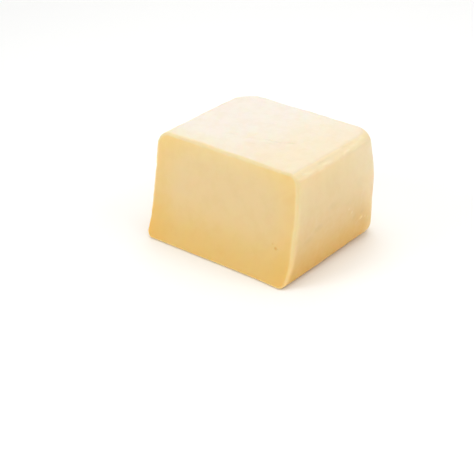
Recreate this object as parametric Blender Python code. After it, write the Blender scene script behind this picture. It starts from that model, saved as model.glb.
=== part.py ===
"""A block of firm, low-moisture mozzarella: the end of a moulded brick, cut across with a knife.

X runs across the loaf and Z is up. Y runs along the loaf, from the cut face at -Y to the moulded
far end at +Y. The block lies on its flat base, with its origin at the middle of its footprint.
"""

import bmesh
import bpy
import numpy as np

# Driving dimensions of the loaf, in metres
LOAF_WIDTH = 0.130
LOAF_HEIGHT = 0.0813
MID_LENGTH = 0.1075  # from the cut face to the far end, halfway up

# How the knife went through: the face leans back, and its foot runs out a little
CUT_LEAN = 0.160  # metres back for each metre up
FOOT_REACH = 0.0043
FOOT_CORNER_REACH = 0.0022  # how much further it runs out at the right corner
FOOT_HEIGHT = 0.026

# How the moulded walls lean, in metres in for each metre up, and swell
LEFT_LEAN = 0.011
RIGHT_LEAN = -0.031
FAR_LEAN = 0.030
LEFT_SWELL = 0.0010
RIGHT_SWELL = 0.0012
FAR_SWELL = 0.0011
TOP_SWELL = 0.0006
SHOULDER = 0.0062  # how far the right wall draws in on its way up to the top edge

# Edge radii: the upright far corners, the rims of the top and the base, and the knife's crisp edge
FAR_LEFT_RADIUS = 0.0200
FAR_RIGHT_RADIUS = 0.0163
TOP_LEFT_RADIUS = 0.0103
TOP_RIGHT_RADIUS_NEAR = 0.0060
TOP_RIGHT_RADIUS_FAR = 0.0068
TOP_END_RADIUS = 0.0064
BASE_RADIUS_NEAR = 0.0060
BASE_RADIUS_FAR = 0.0093
BASE_END_RADIUS = 0.0082
CUT_RADIUS_TOP = 0.0023
CUT_RADIUS_BASE = 0.0030
RIM_BLEND = 4  # how late round a far corner the rim takes the end's radius

# Relief: a wavy lip along the top right edge, and slow waves in the moulded skin
LIP_HEIGHT = 0.0005
LIP_WIDTH = 0.0020  # from its crest to where it has mostly gone
LIP_WAVES = ((0.0009, 0.031), (0.0005, 0.012))  # how far the crest strays, and over what length
LIP_RISE = (0.3, 0.7)  # it comes in between these shares of the way to the side and to the top
LIP_FADE = (0.45, 0.85)  # it fades out between these shares of the way to the far end
SKIN_WAVES = ((0.00016, 0.043, 0.072, 0.054), (0.00010, -0.063, 0.025, 0.033))  # height; x, y, z lengths
BASE_FLAT = 0.010  # the relief fades in over this height above the base

# Mesh stations: fine steps by each edge, then even ones
EDGE_STEPS = (0.0008, 0.0018, 0.0032, 0.0052, 0.0080, 0.0120, 0.0175)
MIDDLE_STEP = 0.0080
SLICE_MERGE = 1e-7
SEARCH_SPAN = (0.5, 1.2)  # the surface lies between these shares of the way out to the sharp box
SEARCH_ROUNDS = 40
SNAP = 0.00001  # what comes this close to the base lies on it
TINY = 1e-6

CHEESE_SRGB = (0.93, 0.83, 0.64)
CHEESE_ROUGHNESS = 0.42
CHEESE_SCATTER = 0.35
NODE_NAME = "mozzarella"


def smooth_step(low, high, value):
    """0 below low, 1 above high, and an even S between them."""
    t = np.clip((value - low) / (high - low), 0.0, 1.0)
    return t * t * (3.0 - 2.0 * t)


def crown(share):
    """1 in the middle of a face and 0 at its rims."""
    return 1.0 - np.clip(share, -1.0, 1.0) ** 2


def round_join(first, second, radius):
    """The signed distance to two half-spaces that meet in an edge of this radius."""
    over_first = np.maximum(first + radius, 0.0)
    over_second = np.maximum(second + radius, 0.0)
    inner = np.minimum(-radius, np.maximum(first, second))
    return inner + np.hypot(over_first, over_second)


def shares(x, y, z):
    """The place in the loaf, from -1 to 1 along each axis."""
    return 2.0 * x / LOAF_WIDTH, 2.0 * y / MID_LENGTH, 2.0 * z / LOAF_HEIGHT - 1.0


def wall_distance(x, y, z):
    """The two sides and the far end, joined by the upright far corners."""
    across, along, up = shares(x, y, z)
    rise = z - LOAF_HEIGHT / 2.0
    left_reach = LOAF_WIDTH / 2.0 - LEFT_LEAN * rise + LEFT_SWELL * crown(along) * crown(up)
    right_reach = LOAF_WIDTH / 2.0 - RIGHT_LEAN * rise + RIGHT_SWELL * crown(along) * crown(up)
    right_reach = right_reach - SHOULDER * np.clip(up, 0.0, 1.0) ** 2
    far_reach = MID_LENGTH / 2.0 - FAR_LEAN * rise + FAR_SWELL * crown(across) * crown(up)
    sides = np.maximum(-x - left_reach, x - right_reach)
    return round_join(sides, y - far_reach, np.where(x > 0.0, FAR_RIGHT_RADIUS, FAR_LEFT_RADIUS))


def rim_radius(x, y, z):
    """The radius of the rim of the top or the base, which changes along the loaf and at its end."""
    across, along, up = shares(x, y, z)
    to_far = smooth_step(-1.0, 1.0, along)
    beside = np.abs(across) ** RIM_BLEND
    beyond = np.clip(along, 0.0, None) ** RIM_BLEND
    at_end = beyond / (beside + beyond + TINY)
    right = TOP_RIGHT_RADIUS_NEAR + (TOP_RIGHT_RADIUS_FAR - TOP_RIGHT_RADIUS_NEAR) * to_far**2
    top = np.where(x > 0.0, right, TOP_LEFT_RADIUS)
    top = top + (TOP_END_RADIUS - top) * at_end
    base = BASE_RADIUS_NEAR + (BASE_RADIUS_FAR - BASE_RADIUS_NEAR) * to_far
    base = base + (BASE_END_RADIUS - base) * at_end
    return np.where(up > 0.0, top, base)


def moulded_distance(x, y, z):
    """The moulded brick before it was cut: its walls, closed by the top and the flat base."""
    across, along, _ = shares(x, y, z)
    top = z - (LOAF_HEIGHT + TOP_SWELL * crown(across) * crown(along))
    return round_join(wall_distance(x, y, z), np.maximum(top, -z), rim_radius(x, y, z))


def cut_back(x, z):
    """How far the cut lies behind the loaf's near end at this width and height."""
    reach = FOOT_REACH + FOOT_CORNER_REACH * np.clip(2.0 * x / LOAF_WIDTH, 0.0, 1.0) ** 3
    foot = np.clip(1.0 - z / FOOT_HEIGHT, 0.0, 1.0) ** 2
    return CUT_LEAN * (z - LOAF_HEIGHT / 2.0) - reach * foot


def cut_distance(x, y, z):
    """The signed distance to the cut face."""
    return (cut_back(x, z) - y - MID_LENGTH / 2.0) / np.sqrt(1.0 + CUT_LEAN**2)


def cut_radius(z):
    """The radius of the cut face's edge, which grows towards the base."""
    low = np.clip(1.0 - z / LOAF_HEIGHT, 0.0, 1.0) ** 3
    return CUT_RADIUS_TOP + (CUT_RADIUS_BASE - CUT_RADIUS_TOP) * low


def edge_lip(x, y, z):
    """The height of a low wavy lip along the top right edge."""
    across, along, up = shares(x, y, z)
    crest = sum(stray * np.sin(2.0 * np.pi * y / length) for stray, length in LIP_WAVES)
    from_edge = (LOAF_WIDTH / 2.0 - x) - (LOAF_HEIGHT - z)
    by_edge = smooth_step(*LIP_RISE, across) * smooth_step(*LIP_RISE, up)
    by_edge = by_edge * (1.0 - smooth_step(*LIP_FADE, along))
    return LIP_HEIGHT * np.exp(-(((from_edge - crest) / LIP_WIDTH) ** 2)) * by_edge


def skin_waves(x, y, z):
    """The height of the slow unevenness of the moulded faces."""
    rise = 0.0
    for height, along_x, along_y, along_z in SKIN_WAVES:
        flat_wave = np.sin(2.0 * np.pi * (x / along_x + y / along_y))
        rise = rise + height * flat_wave * np.cos(2.0 * np.pi * z / along_z)
    return rise


def block_distance(points):
    """The signed distance from points to the block's surface, negative inside."""
    x, y, z = points.T
    relief = (edge_lip(x, y, z) + skin_waves(x, y, z)) * smooth_step(0.0, BASE_FLAT, z)
    return round_join(moulded_distance(x, y, z) - relief, cut_distance(x, y, z), cut_radius(z))


def onto_surface(box_points):
    """Moves the points of a sharp-edged box towards or from its middle until they lie on the block."""
    middle = np.array((0.0, 0.0, LOAF_HEIGHT / 2.0))
    corners = box_points.copy()
    nearness = np.clip(0.5 - corners[:, 1] / MID_LENGTH, 0.0, 1.0)
    corners[:, 1] += nearness * cut_back(corners[:, 0], corners[:, 2])
    rays = corners - middle
    inside = np.full(len(rays), SEARCH_SPAN[0])
    outside = np.full(len(rays), SEARCH_SPAN[1])
    for _ in range(SEARCH_ROUNDS):
        halfway = (inside + outside) / 2.0
        is_in = block_distance(middle + rays * halfway[:, None]) < 0.0
        inside = np.where(is_in, halfway, inside)
        outside = np.where(is_in, outside, halfway)
    surface = middle + rays * inside[:, None]
    surface[:, 2] = np.where(surface[:, 2] < SNAP, 0.0, surface[:, 2])
    return surface


def centred(points):
    """Puts the middle of the footprint at the origin."""
    low = points.min(axis=0)
    high = points.max(axis=0)
    return points - np.array(((low[0] + high[0]) / 2.0, (low[1] + high[1]) / 2.0, 0.0))


def stations(length):
    """Distances along an edge of this length, where the box is sliced."""
    reach = length - 2.0 * EDGE_STEPS[-1]
    count = max(1, round(reach / MIDDLE_STEP))
    middle = [EDGE_STEPS[-1] + reach * i / count for i in range(1, count)]
    return list(EDGE_STEPS) + middle + [length - step for step in reversed(EDGE_STEPS)]


def sliced_box():
    """The loaf as a sharp-edged box, sliced through at its stations along each axis."""
    mesh = bmesh.new()
    bmesh.ops.create_cube(mesh, size=1.0)
    size = (LOAF_WIDTH, MID_LENGTH, LOAF_HEIGHT)
    bmesh.ops.scale(mesh, vec=size, verts=mesh.verts)
    bmesh.ops.translate(mesh, vec=(0.0, 0.0, LOAF_HEIGHT / 2.0), verts=mesh.verts)
    low_corner = (-LOAF_WIDTH / 2.0, -MID_LENGTH / 2.0, 0.0)
    for axis in range(3):
        normal = [0.0, 0.0, 0.0]
        normal[axis] = 1.0
        for station in stations(size[axis]):
            place = [0.0, 0.0, 0.0]
            place[axis] = low_corner[axis] + station
            everything = mesh.verts[:] + mesh.edges[:] + mesh.faces[:]
            bmesh.ops.bisect_plane(
                mesh, geom=everything, dist=SLICE_MERGE, plane_co=place, plane_no=normal
            )
    return mesh


def linear(srgb):
    """An sRGB colour as the linear values that the shader takes."""
    return tuple(c / 12.92 if c <= 0.04045 else ((c + 0.055) / 1.055) ** 2.4 for c in srgb)


def cheese_material():
    """Pale yellow cheese, waxy and slightly translucent."""
    material = bpy.data.materials.new("cheese")
    material.use_nodes = True
    shader = material.node_tree.nodes["Principled BSDF"]
    shader.inputs["Base Color"].default_value = (*linear(CHEESE_SRGB), 1.0)
    shader.inputs["Roughness"].default_value = CHEESE_ROUGHNESS
    shader.inputs["Metallic"].default_value = 0.0
    shader.inputs["Subsurface Weight"].default_value = CHEESE_SCATTER
    return material


def cheese_block():
    """The block itself, one closed solid."""
    mesh = sliced_box()
    box_points = np.array([vert.co[:] for vert in mesh.verts])
    for vert, point in zip(mesh.verts, centred(onto_surface(box_points))):
        vert.co = point
    bmesh.ops.triangulate(mesh, faces=mesh.faces[:], quad_method="SHORT_EDGE")
    bmesh.ops.recalc_face_normals(mesh, faces=mesh.faces[:])
    data = bpy.data.meshes.new(NODE_NAME)
    mesh.to_mesh(data)
    mesh.free()
    data.shade_smooth()
    data.materials.append(cheese_material())
    block = bpy.data.objects.new(NODE_NAME, data)
    bpy.context.scene.collection.objects.link(block)
    return block


def clear_scene():
    """Removes whatever the scene holds."""
    for old in list(bpy.data.objects):
        bpy.data.objects.remove(old, do_unlink=True)


clear_scene()
cheese_block()
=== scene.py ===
"""A block of firm, low-moisture mozzarella, cut from a moulded loaf, on a pale floor in soft light.

X runs across the loaf and Z is up. Y runs along the loaf, from the cut face at -Y to the moulded
far end at +Y. The block repeats the shape of the solid that it replaces, and adds the low relief:
the grain, creases, wrinkles, dents and flecks of the moulded skin, the knife's streaks and the small
holes of the cut face, and the worn edge between them. All lengths are in metres.
"""

from functools import reduce
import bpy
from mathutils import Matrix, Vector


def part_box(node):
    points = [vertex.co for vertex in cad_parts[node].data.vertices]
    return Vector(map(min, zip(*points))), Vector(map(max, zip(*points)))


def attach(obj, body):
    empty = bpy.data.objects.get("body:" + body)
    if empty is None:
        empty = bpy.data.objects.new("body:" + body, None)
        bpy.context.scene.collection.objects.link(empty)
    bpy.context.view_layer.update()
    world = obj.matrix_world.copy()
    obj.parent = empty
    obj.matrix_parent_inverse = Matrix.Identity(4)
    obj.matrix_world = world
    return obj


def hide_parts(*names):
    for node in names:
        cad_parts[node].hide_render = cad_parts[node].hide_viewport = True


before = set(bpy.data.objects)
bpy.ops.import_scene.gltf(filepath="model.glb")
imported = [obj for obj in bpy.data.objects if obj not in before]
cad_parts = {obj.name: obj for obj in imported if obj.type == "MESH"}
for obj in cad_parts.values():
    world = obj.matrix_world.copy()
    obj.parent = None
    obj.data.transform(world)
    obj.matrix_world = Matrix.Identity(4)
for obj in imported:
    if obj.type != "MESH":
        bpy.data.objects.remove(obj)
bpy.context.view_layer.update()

from types import SimpleNamespace

import bmesh
import bpy
import numpy as np
from mathutils import Vector

NODE_NAME = "mozzarella"
PIECE_NAME = "cheese_block"

# Driving dimensions of the loaf
LOAF_WIDTH = 0.130
LOAF_HEIGHT = 0.0813
MID_LENGTH = 0.1075  # from the cut face to the far end, halfway up

# How the knife went through: the face leans back, and its foot runs out a little
CUT_LEAN = 0.160  # metres back for each metre up
FOOT_REACH = 0.0043
FOOT_CORNER_REACH = 0.0022  # how much further it runs out at the right corner
FOOT_HEIGHT = 0.026

# How the moulded walls lean, in metres in for each metre up, and swell
LEFT_LEAN = 0.011
RIGHT_LEAN = -0.031
FAR_LEAN = 0.030
LEFT_SWELL = 0.0010
RIGHT_SWELL = 0.0012
FAR_SWELL = 0.0011
TOP_SWELL = 0.0006
SHOULDER = 0.0062  # how far the right wall draws in on its way up to the top edge

# Edge radii: the upright far corners, the rims of the top and the base, and the knife's crisp edge
FAR_LEFT_RADIUS = 0.0200
FAR_RIGHT_RADIUS = 0.0163
TOP_LEFT_RADIUS = 0.0103
TOP_RIGHT_RADIUS_NEAR = 0.0060
TOP_RIGHT_RADIUS_FAR = 0.0068
TOP_END_RADIUS = 0.0064
BASE_RADIUS_NEAR = 0.0060
BASE_RADIUS_FAR = 0.0093
BASE_END_RADIUS = 0.0082
CUT_RADIUS_TOP = 0.0023
CUT_RADIUS_BASE = 0.0030
RIM_BLEND = 4  # how late round a far corner the rim takes the end's radius

# Low relief that the solid has too: slow waves in the skin, and a wavy lip along the top right edge,
# which is a little lower here, because a swell under it softens it
LIP_HEIGHT = 0.00034
LIP_WIDTH = 0.0020  # from its crest to where it has mostly gone
LIP_WAVES = ((0.0009, 0.031), (0.0005, 0.012))  # how far the crest strays, and over what length
LIP_RISE = (0.3, 0.7)  # it comes in between these shares of the way to the side and to the top
LIP_FADE = (0.45, 0.85)  # it fades out between these shares of the way to the far end
LIP_FOOT_BELOW = 0.0036  # how far under the lip's crest the swell lies
LIP_FOOT_WIDTH = 0.0032
LIP_FOOT_HEIGHT = 0.00026
SKIN_WAVES = ((0.00016, 0.043, 0.072, 0.054), (0.00010, -0.063, 0.025, 0.033))  # height; x, y, z lengths
BASE_FLAT = 0.010  # the low relief fades in over this height above the base

# The mesh: how many quads lie along each axis, and how much closer they lie by the edges
QUADS = (152, 128, 98)
EDGE_CLOSENESS = 0.35
MARK_DEPTH = 0.000004  # a quad that a small mark moves by more than this is split
MARK_CUTS = 2  # cuts across each side of a quad that is split
SEARCH_SPAN = (0.5, 1.2)  # the surface lies between these shares of the way out to the sharp box
SEARCH_ROUNDS = 34
SNAP = 0.00001  # what comes this close to the base lies on it
NORMAL_STEP = 0.00005
TINY = 1e-6

# Fine unevenness, as layers of waves: height, wave length and seed of each layer
WAVES_IN_A_LAYER = 24
SKIN_GRAIN = ((0.00006, 0.0110, 1), (0.00004, 0.0045, 2), (0.00002, 0.0022, 3))
CUT_SWELLS = ((0.00007, 0.0200, 4), (0.00002, 0.0060, 5))
CUT_STREAKS = ((0.00004, 0.0090, 8), (0.00003, 0.0042, 9), (0.000015, 0.0026, 10))
STREAK_SLANT = 0.06  # metres sideways for each metre up
STREAK_STRETCH = 14.0  # how much longer than wide the streaks are
EDGE_WEAR = ((0.00014, 0.0090, 6), (0.00007, 0.0032, 7))
EDGE_WEAR_WIDTH = 0.0022
CUT_GRAIN_RANGE = (-0.0006, 0.0012)  # past the knife's edge, where the skin's grain gives way to the cut's
GRAIN_FLAT = 0.004  # the unevenness fades in over this height above the base

# Creases in the top: start and end (places across and along), with width and depth
TOP_CREASES = (
    ((0.0066, -0.0138), (0.0150, -0.0112), 0.00075, 0.00028),
    ((0.0138, -0.0117), (0.0208, -0.0100), 0.00070, 0.00030),
    ((0.0210, -0.0099), (0.0290, -0.0052), 0.00080, 0.00028),
    ((0.0085, -0.0186), (0.0175, -0.0155), 0.00070, 0.00018),
    ((0.0015, -0.0263), (0.0080, -0.0232), 0.00070, 0.00015),
    ((-0.0060, -0.0196), (0.0015, -0.0165), 0.0010, 0.00016),
    ((-0.0240, -0.0225), (-0.0120, -0.0185), 0.0012, 0.00012),
)
CREASE_RIM = (0.45, 1.9)  # the rim beside a crease: height as a share of its depth, and place in widths
# Wrinkles of the rounded top right edge: start and end (place along the loaf and distance in from
# the edge), with width and height. A height below 0 makes a groove
EDGE_WRINKLES = (
    ((-0.0405, 0.0050), (-0.0310, 0.0057), 0.0011, -0.00014),
    ((-0.0210, 0.0047), (-0.0115, 0.0050), 0.0011, -0.00026),
    ((-0.0130, 0.0050), (-0.0055, 0.0049), 0.0010, -0.00018),
    ((-0.0045, 0.0048), (0.0040, 0.0046), 0.0011, -0.00012),
    ((0.0095, 0.0071), (0.0185, 0.0064), 0.0012, -0.00026),
    ((0.0175, 0.0066), (0.0250, 0.0071), 0.0011, -0.00016),
    ((-0.0400, 0.0030), (-0.0265, 0.0005), 0.0015, 0.00012),
    ((-0.0240, -0.0010), (-0.0155, -0.0012), 0.0013, 0.00016),
    ((-0.0175, 0.0019), (-0.0055, 0.0003), 0.0013, 0.00022),
    ((-0.0020, -0.0003), (0.0060, -0.0005), 0.0014, 0.00010),
    ((0.0065, 0.0004), (0.0165, 0.0022), 0.0013, 0.00022),
    ((0.0165, 0.0026), (0.0295, 0.0041), 0.0015, 0.00018),
    ((0.0290, 0.0046), (0.0385, 0.0058), 0.0016, 0.00014),
    ((-0.0205, -0.0051), (-0.0085, -0.0046), 0.0017, -0.00007),
    ((0.0070, -0.0035), (0.0170, -0.0022), 0.0017, -0.00008),
    ((-0.0385, -0.0025), (-0.0290, -0.0035), 0.0016, -0.00006),
)
# How a crease or a wrinkle runs: it strays to both sides in waves, and fades towards its ends
STRAY = 0.25  # in widths
STRAY_WAVES = 1.4
STRAY_START = 400.0  # where its waves start, in radians for each metre of its length
END_FADE = 0.6  # the lower this power, the later it fades
# Small holes, dents and raised flecks: middle, radii, and depth or height
CUT_HOLES = (
    ((0.0502, 0.0258), (0.00125, 0.00115), 0.00070),
    ((0.0470, 0.0283), (0.00070, 0.00070), 0.00035),
    ((-0.0374, 0.0274), (0.00180, 0.00180), 0.00006),
    ((-0.0217, 0.0237), (0.00200, 0.00200), 0.00005),
)
SIDE_DENTS = (
    ((-0.0113, 0.0462), (0.0056, 0.0028), 0.00013),
    ((-0.0266, 0.0347), (0.0052, 0.0024), 0.00016),
    ((-0.0373, 0.0298), (0.0052, 0.0024), 0.00016),
    ((0.0094, 0.0404), (0.0050, 0.0026), 0.00008),
    ((0.0236, 0.0519), (0.0040, 0.0042), 0.00010),
    ((-0.0295, 0.0576), (0.0024, 0.0052), 0.00006),
    ((0.0183, 0.0256), (0.0026, 0.0020), 0.00012),
    ((0.0286, 0.0256), (0.0026, 0.0022), 0.00016),
    ((0.0372, 0.0142), (0.0024, 0.0024), 0.00012),
)
SIDE_FLECKS = (
    ((0.0098, 0.0354), (0.0014, 0.0011), 0.00026),
    ((0.0138, 0.0312), (0.0014, 0.0011), 0.00028),
    ((0.0270, 0.0213), (0.0025, 0.0014), 0.00060),
    ((0.0330, 0.0200), (0.0014, 0.0012), 0.00022),
    ((0.0372, 0.0180), (0.0014, 0.0014), 0.00020),
)
# The marks of a face fade out where the surface turns away from it, and towards the knife's edge
MARK_FACING = (0.8, 0.97)  # how much it faces the face's way where a mark begins and where it is whole
SKIN_MARK_FADE = 0.002
CUT_MARK_FADE = 0.001
# Painted shade: a mark of this depth gets the darkest painted shade
DARKEST = 0.0004  # a mark of this depth is as dark as any
# Painted highlight: what stands out by this much gets the palest painted highlight
PALEST = 0.0006  # what stands out by this much is as pale as any

# Colours, as sRGB. A table gives the colour at each of its heights above the base. Much light and shade is
# painted into these colours: the top, rims and walls are lit and shaded copies of one cheese colour
# The top: paler and whiter than the walls, which is painted sheen and top light; yellower towards the right
TOP_COLOUR = (0.907, 0.869, 0.814)
TOP_RIGHT_COLOUR = (0.908, 0.848, 0.729)
# The rounded rim between the top and the right side, lightened: painted light
LIT_BAND_COLOUR = (0.938, 0.867, 0.707)
# The walls by height: darker and warmer towards the base, which is painted shade and warm bounce light, and
# lighter towards the top, which is painted top light
SIDE_COLOURS = (
    (0.004, (0.883, 0.693, 0.340)),
    (0.020, (0.898, 0.745, 0.470)),
    (0.040, (0.917, 0.806, 0.612)),
    (0.066, (0.944, 0.848, 0.650)),
    (0.078, (0.985, 0.862, 0.636)),
)
# The far end by height: paler and whiter than the side, which is painted sheen and back light; darker and
# warmer towards the base, which is painted shade and bounce light
FAR_COLOURS = (
    (0.004, (0.943, 0.813, 0.574)),
    (0.024, (0.962, 0.850, 0.628)),
    (0.044, (0.961, 0.868, 0.694)),
    (0.068, (0.966, 0.890, 0.742)),
)
# The cut by height: its own colour is yellower than the skin's; darker and warmer towards the base, which
# is painted shade and bounce light, and lighter at its top edge, which is painted light
CUT_COLOURS = (
    (0.004, (0.902, 0.749, 0.420)),
    (0.020, (0.911, 0.780, 0.496)),
    (0.040, (0.916, 0.809, 0.602)),
    (0.066, (0.920, 0.812, 0.602)),
    (0.080, (0.943, 0.846, 0.610)),
)
# Painted highlight along the knife's edge, on the walls by height and on the top
EDGE_HIGHLIGHT_COLOURS = (
    (0.008, (0.994, 0.845, 0.560)),
    (0.035, (0.955, 0.872, 0.657)),
    (0.060, (0.962, 0.876, 0.662)),
)
TOP_EDGE_HIGHLIGHT_COLOUR = (0.909, 0.841, 0.654)
FLOOR_COLOUR = (0.990, 0.990, 0.985)
# Tints, which multiply a colour. Several paint light and shade: shade in hollows, a highlight on what
# stands out, and light under the lip and on the walls by the cut
BORDER_TINT = (1.012, 0.988, 0.894)
# Painted shade in the skin's creases, grooves and dents
SKIN_HOLLOW_SHADE = (0.958, 0.968, 0.965)
# Painted shade in the cut's small holes
CUT_HOLE_SHADE = (0.988, 0.960, 0.905)
# Painted highlight on the flecks and the ridges of the top right edge
RAISED_HIGHLIGHT = (1.055, 1.100, 1.180)
NEAR_LEFT_TINT = (1.000, 0.997, 0.950)
# Painted light: the walls a little brighter by the knife's edge
NEAR_WALL_LIGHT = (1.010, 1.016, 1.010)
# Painted light that lifts the shaded underside of the lip
UNDER_LIP_LIGHT = (1.028, 1.007, 1.000)
MOTTLE_TINT = (0.993, 0.989, 0.975)

# Where the colours change. A range says where a change starts and where it is complete, and a range
# of four numbers also says what it gives at each end. Aside is the distance from the middle, across
CUT_RANGE = (-0.0010, 0.0016)  # past the knife's edge: from the skin's colour to the cut's
TOP_SLANT = -0.35  # the top's two colours meet aslant: metres across for each metre along
TOP_RANGE = (-0.03, 0.06)  # across the loaf
FAR_START = (0.020, 0.060, 0.031, -0.005)  # by height: the place along where the far colours start
FAR_FULL = 0.056  # and where they are complete
BORDER_START = (0.060, 0.078, 0.036, 0.014)  # by height: the distance aside where the cut's border starts
BORDER_FULL = 0.064
# By how much the skin faces up: the band of painted light on the top's rounded rim, and the painted light
# under the lip
BAND_START = (0.20, 0.70)
BAND_END = (0.980, 0.9999, 1.0, 0.0)
UNDER_LIP_START = (0.10, 0.35)
UNDER_LIP_END = (0.55, 0.85, 1.0, 0.0)
UNDER_LIP_FADE = (-0.030, 0.035, 1.0, 0.0)  # along the loaf
# The tinted skin by the cut on the left half, and the painted light on the walls by the cut: a range past
# the knife's edge for each
NEAR_LEFT_RANGE = (-0.020, -0.005)
NEAR_LEFT_FADE = (-0.030, 0.0, 1.0, 0.0)  # across the loaf
NEAR_WALL_RANGE = (-0.014, -0.004)
NEAR_WALL_FADE = (0.0, 0.3, 1.0, 0.0)  # by how much the skin faces up
# The painted highlight along the knife's edge. By height, it shifts from just before the edge at the foot
# to just past it halfway up, and the shift goes again towards the top
LINE_SHIFT = (0.010, 0.034, -0.0006, 0.0007)
LINE_SHIFT_FADE = (0.060, 0.078, 1.0, 0.0)
# Where the line starts and where it is complete, past the knife's edge, on the walls and on the top
WALL_LINE_START = -0.0062
WALL_LINE_FULL = -0.0006
TOP_LINE_START = (-0.050, 0.050, -0.0050, -0.0021)  # by the place across
TOP_LINE_FULL = (0.015, 0.045, -0.0006, 0.0008)  # by the distance aside
LINE_FADE = (0.0004, 0.0028, 1.0, 0.0)  # and it fades on the cut

# Noise in the cheese: width of its blots, detail and roughness, and the range that is read from it
MOTTLE_NOISE = (0.012, 3.0, 0.6)
MOTTLE_RANGE = (0.42, 0.68)
GLOSS_NOISE = (0.006, 2.0, 0.5)
ROUGHNESS_RANGE = (0.3, 0.7, 0.40, 0.52)
GRAIN_NOISE = (0.0011, 4.0, 0.6)
GRAIN_STRENGTH = 0.25
GRAIN_HEIGHT = 0.0002

# What is the same all over a surface
CHEESE_FINISH = {
    "IOR": 1.45,
    "Subsurface Weight": 0.6,
    "Subsurface Radius": (1.0, 0.45, 0.20),
    "Subsurface Scale": 0.004,
}
FLOOR_FINISH = {"Roughness": 0.9, "Specular IOR Level": 0.1}
FLOOR_SIZE = 8.0
FLOOR_GAP = 0.0002  # between the base and the floor

# Square soft lights: name, place, size and power
LIGHTS_AIM = (0.0, 0.0, 0.05)
SOFT_LIGHTS = (
    ("top_light", (-0.15, 0.25, 1.3), 1.1, 4.6),
    ("near_top_light", (0.03, 0.0, 0.75), 0.5, 1.1),
    ("left_light", (-0.75, -1.25, 0.75), 0.8, 8.3),
    ("right_light", (1.35, 0.35, 0.75), 0.8, 2.4),
    ("back_light", (-0.9, 1.15, 0.75), 1.2, 4.6),
    ("front_light", (0.9, -1.2, 1.1), 0.8, 2.5),
    ("upper_right_light", (1.0, 0.25, 1.15), 0.8, 2.2),
    ("far_right_light", (0.9, 0.9, 1.1), 0.8, 2.2),
)
ROOM_COLOUR = (1.0, 1.0, 1.0, 1.0)
ROOM_LIGHT = 0.36

# The camera stands where the picture was taken from
CAMERA_AZIMUTH = 38.405
CAMERA_ELEVATION = 28.463
CAMERA_DISTANCE = 1.022
CAMERA_AIM = (-0.0109, -0.0180, 0.0003)
LENS = 104.08
SENSOR = 36.0


def smooth_step(low, high, value):
    """0 below low, 1 above high, and an even S between them."""
    t = np.clip((value - low) / (high - low), 0.0, 1.0)
    return t * t * (3.0 - 2.0 * t)


def crown(share):
    """1 in the middle of a face and 0 at its rims."""
    return 1.0 - np.clip(share, -1.0, 1.0) ** 2


def round_join(first, second, radius):
    """The signed distance to two half-spaces that meet in an edge of this radius."""
    over_first = np.maximum(first + radius, 0.0)
    over_second = np.maximum(second + radius, 0.0)
    inner = np.minimum(-radius, np.maximum(first, second))
    return inner + np.hypot(over_first, over_second)


def shares(x, y, z):
    """The place in the loaf, from -1 to 1 along each axis."""
    return 2.0 * x / LOAF_WIDTH, 2.0 * y / MID_LENGTH, 2.0 * z / LOAF_HEIGHT - 1.0


def wall_distance(x, y, z):
    """The two sides and the far end, joined by the upright far corners."""
    across, along, up = shares(x, y, z)
    rise = z - LOAF_HEIGHT / 2.0
    left_reach = LOAF_WIDTH / 2.0 - LEFT_LEAN * rise + LEFT_SWELL * crown(along) * crown(up)
    right_reach = LOAF_WIDTH / 2.0 - RIGHT_LEAN * rise + RIGHT_SWELL * crown(along) * crown(up)
    right_reach = right_reach - SHOULDER * np.clip(up, 0.0, 1.0) ** 2
    far_reach = MID_LENGTH / 2.0 - FAR_LEAN * rise + FAR_SWELL * crown(across) * crown(up)
    sides = np.maximum(-x - left_reach, x - right_reach)
    return round_join(sides, y - far_reach, np.where(x > 0.0, FAR_RIGHT_RADIUS, FAR_LEFT_RADIUS))


def rim_radius(x, y, z):
    """The radius of the rim of the top or the base, which changes along the loaf and at its end."""
    across, along, up = shares(x, y, z)
    to_far = smooth_step(-1.0, 1.0, along)
    beside = np.abs(across) ** RIM_BLEND
    beyond = np.clip(along, 0.0, None) ** RIM_BLEND
    at_end = beyond / (beside + beyond + TINY)
    right = TOP_RIGHT_RADIUS_NEAR + (TOP_RIGHT_RADIUS_FAR - TOP_RIGHT_RADIUS_NEAR) * to_far**2
    top = np.where(x > 0.0, right, TOP_LEFT_RADIUS)
    top = top + (TOP_END_RADIUS - top) * at_end
    base = BASE_RADIUS_NEAR + (BASE_RADIUS_FAR - BASE_RADIUS_NEAR) * to_far
    base = base + (BASE_END_RADIUS - base) * at_end
    return np.where(up > 0.0, top, base)


def moulded_distance(x, y, z):
    """The moulded brick before it was cut: its walls, closed by the top and the flat base."""
    across, along, _ = shares(x, y, z)
    top = z - (LOAF_HEIGHT + TOP_SWELL * crown(across) * crown(along))
    return round_join(wall_distance(x, y, z), np.maximum(top, -z), rim_radius(x, y, z))


def cut_back(x, z):
    """How far the cut lies behind the loaf's near end at this width and height."""
    reach = FOOT_REACH + FOOT_CORNER_REACH * np.clip(2.0 * x / LOAF_WIDTH, 0.0, 1.0) ** 3
    foot = np.clip(1.0 - z / FOOT_HEIGHT, 0.0, 1.0) ** 2
    return CUT_LEAN * (z - LOAF_HEIGHT / 2.0) - reach * foot


def cut_distance(x, y, z):
    """The signed distance to the cut face."""
    return (cut_back(x, z) - y - MID_LENGTH / 2.0) / np.sqrt(1.0 + CUT_LEAN**2)


def cut_radius(z):
    """The radius of the cut face's edge, which grows towards the base."""
    low = np.clip(1.0 - z / LOAF_HEIGHT, 0.0, 1.0) ** 3
    return CUT_RADIUS_TOP + (CUT_RADIUS_BASE - CUT_RADIUS_TOP) * low


def past_edge(x, z):
    """The distance in from the top right edge, over the top: below 0 on the right side."""
    return (LOAF_WIDTH / 2.0 - x) - (LOAF_HEIGHT - z)


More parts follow.
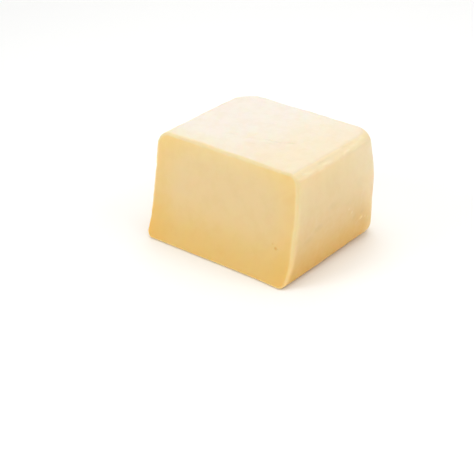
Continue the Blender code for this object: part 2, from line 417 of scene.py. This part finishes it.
def near_top_right(x, y, z):
    """1 by the top right edge, and 0 away from it."""
    across, _, up = shares(x, y, z)
    return smooth_step(*LIP_RISE, across) * smooth_step(*LIP_RISE, up)


def along_lip(x, y, z, below, width, height):
    """The height of a swell that runs this far below the lip's wavy crest, and fades with it."""
    crest = sum(stray * np.sin(2.0 * np.pi * y / length) for stray, length in LIP_WAVES)
    fade = 1.0 - smooth_step(*LIP_FADE, shares(x, y, z)[1])
    aside = (past_edge(x, z) - crest + below) / width
    return height * fade * np.exp(-(aside**2)) * near_top_right(x, y, z)


def skin_waves(x, y, z):
    """The height of the slow unevenness of the moulded faces."""
    rise = 0.0
    for height, along_x, along_y, along_z in SKIN_WAVES:
        flat_wave = np.sin(2.0 * np.pi * (x / along_x + y / along_y))
        rise = rise + height * flat_wave * np.cos(2.0 * np.pi * z / along_z)
    return rise


def block_distance(x, y, z):
    """The signed distance to the block's surface, negative inside."""
    lip = along_lip(x, y, z, 0.0, LIP_WIDTH, LIP_HEIGHT)
    relief = (lip + skin_waves(x, y, z)) * smooth_step(0.0, BASE_FLAT, z)
    return round_join(moulded_distance(x, y, z) - relief, cut_distance(x, y, z), cut_radius(z))


def onto_surface(box_points):
    """Moves the points of a sharp-edged box towards or from its middle until they lie on the block."""
    middle = np.array((0.0, 0.0, LOAF_HEIGHT / 2.0))
    corners = box_points.copy()
    nearness = np.clip(0.5 - corners[:, 1] / MID_LENGTH, 0.0, 1.0)
    corners[:, 1] += nearness * cut_back(corners[:, 0], corners[:, 2])
    rays = corners - middle
    inside = np.full(len(rays), SEARCH_SPAN[0])
    outside = np.full(len(rays), SEARCH_SPAN[1])
    for _ in range(SEARCH_ROUNDS):
        halfway = (inside + outside) / 2.0
        is_in = block_distance(*(middle + rays * halfway[:, None]).T) < 0.0
        inside = np.where(is_in, halfway, inside)
        outside = np.where(is_in, outside, halfway)
    surface = middle + rays * inside[:, None]
    surface[:, 2] = np.where(surface[:, 2] < SNAP, 0.0, surface[:, 2])
    return surface


def stations(length, count):
    """Where the box is sliced along an edge of this length: closer by both ends."""
    t = np.linspace(0.0, 1.0, count + 1)
    return length * (t - EDGE_CLOSENESS * np.sin(2.0 * np.pi * t) / (2.0 * np.pi))


def box_quads():
    """The station numbers (along x, y and z) of the corners of each quad of the box, facing out."""
    quads = []
    for axis in range(3):
        second = (axis + 1) % 3
        third = (axis + 2) % 3
        rows, columns = np.meshgrid(np.arange(QUADS[second]), np.arange(QUADS[third]), indexing="ij")
        for level, turn in ((0, (0, 3, 2, 1)), (QUADS[axis], (0, 1, 2, 3))):
            corners = np.zeros(rows.shape + (4, 3), int)
            for corner, (along_second, along_third) in enumerate(((0, 0), (1, 0), (1, 1), (0, 1))):
                corners[..., corner, axis] = level
                corners[..., corner, second] = rows + along_second
                corners[..., corner, third] = columns + along_third
            quads.append(corners[..., turn, :].reshape(-1, 4, 3))
    return np.concatenate(quads)


def sliced_box():
    """The points of the loaf as a sharp-edged box, and the numbers of each quad's points."""
    corners = box_quads().reshape(-1, 3)
    numbers = (corners[:, 0] * (QUADS[1] + 1) + corners[:, 1]) * (QUADS[2] + 1) + corners[:, 2]
    _, first, quads = np.unique(numbers, return_index=True, return_inverse=True)
    picked = corners[first]
    size = (LOAF_WIDTH, MID_LENGTH, LOAF_HEIGHT)
    start = (-LOAF_WIDTH / 2.0, -MID_LENGTH / 2.0, 0.0)
    columns = [start[i] + stations(size[i], QUADS[i])[picked[:, i]] for i in range(3)]
    return np.stack(columns, axis=1), quads.reshape(-1, 4)


def steepest(distance, points):
    """The direction in which a distance grows fastest at each point: straight out of its surface."""
    slope = np.zeros_like(points)
    for axis in range(3):
        nudge = np.zeros(3)
        nudge[axis] = NORMAL_STEP
        slope[:, axis] = distance(*(points + nudge).T) - distance(*(points - nudge).T)
    return slope / np.maximum(np.linalg.norm(slope, axis=1, keepdims=True), TINY**2)


def edge_distance(points):
    """How far each point of the surface lies from the knife's edge: above 0 on the cut face."""
    x, y, z = points.T
    return cut_distance(x, y, z) - moulded_distance(x, y, z)


def ripples(points, length, seed):
    """An aimless unevenness, mostly between -1 and 1, with waves of this length."""
    rng = np.random.default_rng(seed)
    total = np.zeros(len(points))
    for _ in range(WAVES_IN_A_LAYER):
        direction = rng.normal(size=3)
        direction *= 2.0 * np.pi / (length * np.linalg.norm(direction))
        total += np.cos(points @ direction + rng.uniform(0.0, 2.0 * np.pi))
    return total * np.sqrt(1.0 / WAVES_IN_A_LAYER)


def unevenness(points, layers):
    """Several layers of ripples, each with its own height."""
    return sum(height * ripples(points, length, seed) for height, length, seed in layers)


def fine_relief(points, from_cut):
    """The height of the skin's grain, the cut's swells and streaks, and the wear of the edge."""
    x, y, z = points.T
    on_cut = smooth_step(*CUT_GRAIN_RANGE, from_cut)
    rise = (1.0 - on_cut) * unevenness(points, SKIN_GRAIN) + on_cut * unevenness(points, CUT_SWELLS)
    squeezed = np.stack((x + STREAK_SLANT * z, np.zeros_like(y), z / STREAK_STRETCH), axis=1)
    rise += on_cut * unevenness(squeezed, CUT_STREAKS)
    by_edge = np.exp(-((from_cut / EDGE_WEAR_WIDTH) ** 2))
    rise += by_edge * unevenness(points, EDGE_WEAR)
    return rise * smooth_step(0.0, GRAIN_FLAT, z)


def beside_line(u, v, start, end, width):
    """How far aside of a short straying line each point lies, in widths, and the line's strength there."""
    start = np.array(start)
    run = np.array(end) - start
    length = np.hypot(*run)
    place = np.stack((u, v), axis=1) - start
    along = place @ run / length**2
    stray = STRAY * width * np.sin(2.0 * np.pi * along * STRAY_WAVES + STRAY_START * length)
    aside = (place[:, 1] * run[0] - place[:, 0] * run[1]) / length - stray
    return aside / width, np.clip(4.0 * along * (1.0 - along), 0.0, 1.0) ** END_FADE


def crease_depth(x, y, crease):
    """How deep a crease is at each point of the top: deepest halfway along it, with a low rim beside it."""
    *line, depth = crease
    rim_height, rim_place = CREASE_RIM
    aside, strength = beside_line(x, y, *line)
    return depth * strength * (np.exp(-(aside**2)) - rim_height * np.exp(-((aside - rim_place) ** 2)))


def wrinkle_height(y, from_edge, wrinkle):
    """How high a wrinkle of the top right edge is at each point."""
    *line, height = wrinkle
    aside, strength = beside_line(y, from_edge, *line)
    return height * strength * np.exp(-(aside**2))


def dents(u, v, marks):
    """The depth or height of a face's small marks at each point: steep-sided, with a flat middle."""
    depth = 0.0
    for (middle_u, middle_v), (radius_u, radius_v), deep in marks:
        away = np.hypot((u - middle_u) / radius_u, (v - middle_v) / radius_v)
        depth = depth + deep * np.exp(-(away**4))
    return depth


def on_skin(from_cut):
    """1 on the moulded skin, and 0 past the knife's edge."""
    return smooth_step(0.0, SKIN_MARK_FADE, -from_cut)


def top_creases(points, normals, from_cut):
    """How deep the creases in the top are at each point."""
    x, y, _ = points.T
    on_top = smooth_step(*MARK_FACING, normals[:, 2]) * on_skin(from_cut)
    return on_top * sum(crease_depth(x, y, crease) for crease in TOP_CREASES)


def edge_wrinkles(points, from_cut):
    """The grooves and the ridges of the top right edge at each point, both as positive numbers."""
    x, y, z = points.T
    by_edge = near_top_right(x, y, z) * on_skin(from_cut)
    heights = [by_edge * wrinkle_height(y, past_edge(x, z), wrinkle) for wrinkle in EDGE_WRINKLES]
    grooves = sum(np.maximum(-height, 0.0) for height in heights)
    ridges = sum(np.maximum(height, 0.0) for height in heights)
    return grooves, ridges


def side_marks(points, normals, from_cut):
    """The dents and the raised flecks of the right side at each point, both as positive numbers."""
    _, y, z = points.T
    on_side = smooth_step(*MARK_FACING, normals[:, 0]) * on_skin(from_cut)
    return on_side * dents(y, z, SIDE_DENTS), on_side * dents(y, z, SIDE_FLECKS)


def cut_holes(points, from_cut):
    """How deep the small holes in the cut face are at each point."""
    x, _, z = points.T
    return smooth_step(0.0, CUT_MARK_FADE, from_cut) * dents(x, z, CUT_HOLES)


def all_marks(points, normals, from_cut):
    """How far each point is sunk by the marks, and how far it is raised."""
    grooves, ridges = edge_wrinkles(points, from_cut)
    side_dents, flecks = side_marks(points, normals, from_cut)
    creases = top_creases(points, normals, from_cut)
    return creases + grooves + side_dents + cut_holes(points, from_cut), ridges + flecks


def mesh_points(mesh):
    """The places of a mesh's points."""
    places = np.empty(3 * len(mesh.vertices))
    mesh.vertices.foreach_get("co", places)
    return places.reshape(-1, 3)


def split_marked_quads(mesh):
    """Splits the quads that lie in a crease, a hole or a fleck, so that its shape comes out."""
    surface = mesh_points(mesh)
    normals = steepest(block_distance, surface)
    from_cut = edge_distance(surface)
    _, flecks = side_marks(surface, normals, from_cut)
    depth = top_creases(surface, normals, from_cut) + cut_holes(surface, from_cut) + flecks
    is_marked = np.abs(depth) > MARK_DEPTH
    fine = bmesh.new()
    fine.from_mesh(mesh)
    split = [any(is_marked[corner.index] for corner in face.verts) for face in fine.faces]
    edges = [edge for edge in fine.edges if any(split[face.index] for face in edge.link_faces)]
    bmesh.ops.subdivide_edges(
        fine, edges=edges, cuts=MARK_CUTS, use_grid_fill=True, quad_corner_type="PATH"
    )
    bmesh.ops.triangulate(fine, faces=[face for face in fine.faces if len(face.verts) > 4])
    fine.to_mesh(mesh)
    fine.free()


def smooth_block():
    """The mesh of the block before its fine relief: one closed body, in the loaf's own coordinates."""
    mesh = bpy.data.meshes.new(PIECE_NAME)
    box_points, quads = sliced_box()
    mesh.from_pydata(onto_surface(box_points).tolist(), [], quads.tolist())
    split_marked_quads(mesh)
    return mesh


def in_the_solids_place(points):
    """Moves the points so that the middle of their footprint is the solid's."""
    low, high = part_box(NODE_NAME)
    shift = (np.array(low) + np.array(high) - points.min(axis=0) - points.max(axis=0)) / 2.0
    shift[2] = 0.0
    return points + shift


def add_values(mesh, name, values):
    """Keeps a number for each point of the mesh, for the material to read."""
    attribute = mesh.attributes.new(name, "FLOAT", "POINT")
    attribute.data.foreach_set("value", values.astype(np.float32))


def cheese_block():
    """The block, with its fine relief, and with what its material reads at each point."""
    mesh = smooth_block()
    surface = mesh_points(mesh)
    normals = steepest(block_distance, surface)
    from_cut = edge_distance(surface)
    sunk, raised = all_marks(surface, normals, from_cut)
    lip_foot = along_lip(*surface.T, LIP_FOOT_BELOW, LIP_FOOT_WIDTH, LIP_FOOT_HEIGHT)
    relief = fine_relief(surface, from_cut) + lip_foot + raised - sunk
    points = in_the_solids_place(surface + normals * relief[:, None])
    mesh.vertices.foreach_set("co", points.ravel())
    mesh.shade_smooth()
    add_values(mesh, "from_cut", from_cut)
    add_values(mesh, "facing_up", smooth_step(0.0, 1.0, steepest(moulded_distance, surface)[:, 2]))
    # The share of painted shade in the hollows of the marks
    add_values(mesh, "hollowed", np.clip(sunk / DARKEST, 0.0, 1.0))
    # The share of painted highlight on what stands out: the flecks and the ridges
    add_values(mesh, "raised", np.clip(raised / PALEST, 0.0, 1.0))
    piece = bpy.data.objects.new(PIECE_NAME, mesh)
    bpy.context.scene.collection.objects.link(piece)
    return piece


def linear(srgb):
    """An sRGB colour as the linear values that the shader takes."""
    return tuple(c / 12.92 if c <= 0.04045 else ((c + 0.055) / 1.055) ** 2.4 for c in srgb) + (1.0,)


class Nodes:
    """A material's nodes, made one by one and linked as they are made."""

    def __init__(self, name, finish):
        self.material = bpy.data.materials.new(name)
        self.material.use_nodes = True
        self.tree = self.material.node_tree
        self.shader = self.tree.nodes["Principled BSDF"]
        for socket, value in finish.items():
            self.feed(self.shader, socket, value)

    def add(self, kind, inputs=(), **settings):
        """A node of this kind. An input takes a value, or another node's output."""
        node = self.tree.nodes.new(kind)
        for name, value in settings.items():
            setattr(node, name, value)
        for name, value in dict(inputs).items():
            self.feed(node, name, value)
        return node

    def feed(self, node, name, value):
        """Gives one input its value or its link."""
        if isinstance(value, bpy.types.NodeSocket):
            self.tree.links.new(value, node.inputs[name])
        else:
            node.inputs[name].default_value = value

    def noise(self, size, detail, roughness):
        """Noise in the block's own coordinates, whose blots are about this many metres wide."""
        place = self.add("ShaderNodeTexCoord").outputs["Object"]
        inputs = {"Vector": place, "Scale": 1.0 / size, "Detail": detail, "Roughness": roughness}
        return self.add("ShaderNodeTexNoise", inputs).outputs["Fac"]

    def ramp(self, value, low, high, from_value=0.0, to_value=1.0):
        """Maps low to high onto from_value to to_value, with an even S, and clamped."""
        names = ("Value", "From Min", "From Max", "To Min", "To Max")
        inputs = zip(names, (value, low, high, from_value, to_value))
        return self.add("ShaderNodeMapRange", inputs, interpolation_type="SMOOTHSTEP").outputs["Result"]

    def maths(self, operation, *numbers):
        """The result of one operation on numbers."""
        return self.add("ShaderNodeMath", enumerate(numbers), operation=operation).outputs[0]

    def product(self, *numbers):
        """Several numbers multiplied."""
        return reduce(lambda first, second: self.maths("MULTIPLY", first, second), numbers)

    def between(self, share, first, second):
        """A number between two others: a Mix node takes them at its inputs 2 and 3."""
        return self.add("ShaderNodeMix", {0: share, 2: first, 3: second}).outputs[0]

    def blend(self, share, first, second, how="MIX"):
        """A colour between two others, each as sRGB or another node's output."""
        colours = [c if isinstance(c, bpy.types.NodeSocket) else linear(c) for c in (first, second)]
        inputs = {0: share, 6: colours[0], 7: colours[1]}  # a Mix node takes colours at 6 and 7
        return self.add("ShaderNodeMix", inputs, data_type="RGBA", blend_type=how).outputs[2]

    def tinted(self, share, colour, tint):
        """A colour multiplied by a tint, as far as the share says."""
        return self.blend(share, colour, tint, how="MULTIPLY")

    def by_height(self, height, colours):
        """The colour that a table gives at this height."""
        share = self.add("ShaderNodeMapRange", {"Value": height, "From Max": LOAF_HEIGHT}).outputs["Result"]
        node = self.add("ShaderNodeValToRGB", {"Fac": share})
        stops = node.color_ramp
        stops.interpolation = "B_SPLINE"
        while len(stops.elements) < len(colours):
            stops.elements.new(1.0)
        for stop, (level, colour) in zip(stops.elements, colours):
            stop.position = level / LOAF_HEIGHT
            stop.color = linear(colour)
        return node.outputs["Color"]


def surface_values(nodes):
    """What the material reads at each spot: its place, and the numbers kept with the mesh."""
    place = nodes.add("ShaderNodeTexCoord").outputs["Object"]
    across, along, height = nodes.add("ShaderNodeSeparateXYZ", {0: place}).outputs
    spot = SimpleNamespace(across=across, along=along, height=height)
    spot.aside = nodes.maths("ABSOLUTE", across)
    for name in ("from_cut", "facing_up", "hollowed", "raised"):
        setattr(spot, name, nodes.add("ShaderNodeAttribute", attribute_name=name).outputs["Fac"])
    spot.on_cut = nodes.ramp(spot.from_cut, *CUT_RANGE)
    return spot


def skin_colour(nodes, spot):
    """The moulded skin, with painted light and shade in its colour: its walls, its top, the band between
    them, the painted light under the lip, and the tint and the painted light near the cut.
    """
    # Towards the far end the walls take the paler far colours: painted sheen and back light
    far = nodes.ramp(spot.along, nodes.ramp(spot.height, *FAR_START), FAR_FULL)
    # The walls' colours by height hold painted shade and bounce light low down, and painted top light high
    # up
    side_colour = nodes.by_height(spot.height, SIDE_COLOURS)
    walls = nodes.blend(far, side_colour, nodes.by_height(spot.height, FAR_COLOURS))
    to_right = nodes.ramp(nodes.maths("MULTIPLY_ADD", spot.along, TOP_SLANT, spot.across), *TOP_RANGE)
    # The top's paler, whiter colour against the walls' is painted sheen and top light
    skin = nodes.blend(spot.facing_up, walls, nodes.blend(to_right, TOP_COLOUR, TOP_RIGHT_COLOUR))
    # Painted light on the rounded rim between the top and the right side
    on_band = nodes.product(
        nodes.ramp(spot.facing_up, *BAND_START),
        nodes.ramp(spot.facing_up, *BAND_END),
    )
    skin = nodes.blend(on_band, skin, LIT_BAND_COLOUR)
    # Painted light under the lip
    under_lip = nodes.product(
        nodes.ramp(spot.facing_up, *UNDER_LIP_START),
        nodes.ramp(spot.facing_up, *UNDER_LIP_END),
        nodes.ramp(spot.along, *UNDER_LIP_FADE),
    )
    skin = nodes.tinted(under_lip, skin, UNDER_LIP_LIGHT)
    near_left = nodes.product(
        nodes.ramp(spot.from_cut, *NEAR_LEFT_RANGE),
        nodes.ramp(spot.across, *NEAR_LEFT_FADE),
    )
    skin = nodes.tinted(near_left, skin, NEAR_LEFT_TINT)
    # Painted light on the walls by the knife's edge
    near_wall = nodes.product(
        nodes.ramp(spot.from_cut, *NEAR_WALL_RANGE),
        nodes.ramp(spot.facing_up, *NEAR_WALL_FADE),
    )
    return nodes.tinted(near_wall, skin, NEAR_WALL_LIGHT)


def edge_highlight(nodes, spot):
    """How strong the painted highlight along the knife's edge is at each spot."""
    shift = nodes.product(
        nodes.ramp(spot.height, *LINE_SHIFT),
        nodes.ramp(spot.height, *LINE_SHIFT_FADE),
    )
    past_line = nodes.maths("SUBTRACT", spot.from_cut, shift)
    top_start = nodes.ramp(spot.across, *TOP_LINE_START)
    top_full = nodes.ramp(spot.aside, *TOP_LINE_FULL)
    start = nodes.between(spot.facing_up, WALL_LINE_START, top_start)
    full = nodes.between(spot.facing_up, WALL_LINE_FULL, top_full)
    return nodes.product(nodes.ramp(past_line, start, full), nodes.ramp(past_line, *LINE_FADE))


def cheese_colour(nodes, spot):
    """The skin, the cut with its border, the painted highlight along the knife's edge, the mottling, the
    painted shade of the hollow marks and the painted highlight of the raised ones.
    """
    # The cut's colours by height hold painted shade and bounce light low down, and painted light at the top
    colour = nodes.blend(spot.on_cut, skin_colour(nodes, spot), nodes.by_height(spot.height, CUT_COLOURS))
    border = nodes.ramp(spot.aside, nodes.ramp(spot.height, *BORDER_START), BORDER_FULL)
    colour = nodes.tinted(nodes.product(spot.on_cut, border), colour, BORDER_TINT)
    # The painted highlight along the knife's edge
    edge = nodes.blend(spot.facing_up, nodes.by_height(spot.height, EDGE_HIGHLIGHT_COLOURS), TOP_EDGE_HIGHLIGHT_COLOUR)
    colour = nodes.blend(edge_highlight(nodes, spot), colour, edge)
    mottled = nodes.ramp(nodes.noise(*MOTTLE_NOISE), *MOTTLE_RANGE)
    colour = nodes.tinted(mottled, colour, MOTTLE_TINT)
    # Painted shade in the hollows: the skin's creases, grooves and dents, and the cut's holes
    colour = nodes.tinted(spot.hollowed, colour, nodes.blend(spot.on_cut, SKIN_HOLLOW_SHADE, CUT_HOLE_SHADE))
    # Painted highlight on the flecks and the ridges
    return nodes.tinted(spot.raised, colour, RAISED_HIGHLIGHT)


def cheese_material():
    """Pale yellow cheese, waxy and slightly translucent: paler on its skin than where it is cut, partly in
    its own colour and partly through painted light and shade.
    """
    nodes = Nodes("cheese", CHEESE_FINISH)
    grain = nodes.noise(*GRAIN_NOISE)
    bump_inputs = {"Height": grain, "Strength": GRAIN_STRENGTH, "Distance": GRAIN_HEIGHT}
    bump = nodes.add("ShaderNodeBump", bump_inputs)
    nodes.feed(nodes.shader, "Base Color", cheese_colour(nodes, surface_values(nodes)))
    nodes.feed(nodes.shader, "Roughness", nodes.ramp(nodes.noise(*GLOSS_NOISE), *ROUGHNESS_RANGE))
    nodes.feed(nodes.shader, "Normal", bump.outputs["Normal"])
    return nodes.material


def floor():
    """A plain pale floor that reaches past the picture's edges."""
    bpy.ops.mesh.primitive_plane_add(size=FLOOR_SIZE, location=(0.0, 0.0, -FLOOR_GAP))
    plane = bpy.context.object
    plane.name = "floor"
    nodes = Nodes("floor", FLOOR_FINISH)
    nodes.feed(nodes.shader, "Base Color", linear(FLOOR_COLOUR))
    plane.data.materials.append(nodes.material)


def aimed(thing, place, target):
    """Puts a lamp or the camera at a place and turns it towards a target."""
    thing.location = place
    thing.rotation_euler = (Vector(target) - Vector(place)).to_track_quat("-Z", "Y").to_euler()
    bpy.context.scene.collection.objects.link(thing)


def lights():
    """Soft light from above and from all round, and a pale room."""
    for name, place, size, power in SOFT_LIGHTS:
        lamp = bpy.data.lights.new(name, "AREA")
        lamp.size = size
        lamp.energy = power
        aimed(bpy.data.objects.new(name, lamp), place, LIGHTS_AIM)
    world = bpy.data.worlds.new("room")
    world.use_nodes = True
    background = world.node_tree.nodes["Background"]
    background.inputs["Color"].default_value = ROOM_COLOUR
    background.inputs["Strength"].default_value = ROOM_LIGHT
    bpy.context.scene.world = world


def camera():
    """The picture's view."""
    azimuth = np.radians(CAMERA_AZIMUTH)
    elevation = np.radians(CAMERA_ELEVATION)
    level = np.cos(elevation)
    back = np.array((np.sin(azimuth) * level, -np.cos(azimuth) * level, np.sin(elevation)))
    lens = bpy.data.cameras.new("camera")
    lens.lens = LENS
    lens.sensor_width = SENSOR
    view = bpy.data.objects.new("camera", lens)
    aimed(view, tuple(np.array(CAMERA_AIM) + back * CAMERA_DISTANCE), CAMERA_AIM)
    bpy.context.scene.camera = view


bpy.context.scene.view_settings.view_transform = "Standard"
camera()
lights()
floor()
block = cheese_block()
block.data.materials.append(cheese_material())
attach(block, "root")
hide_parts(NODE_NAME)
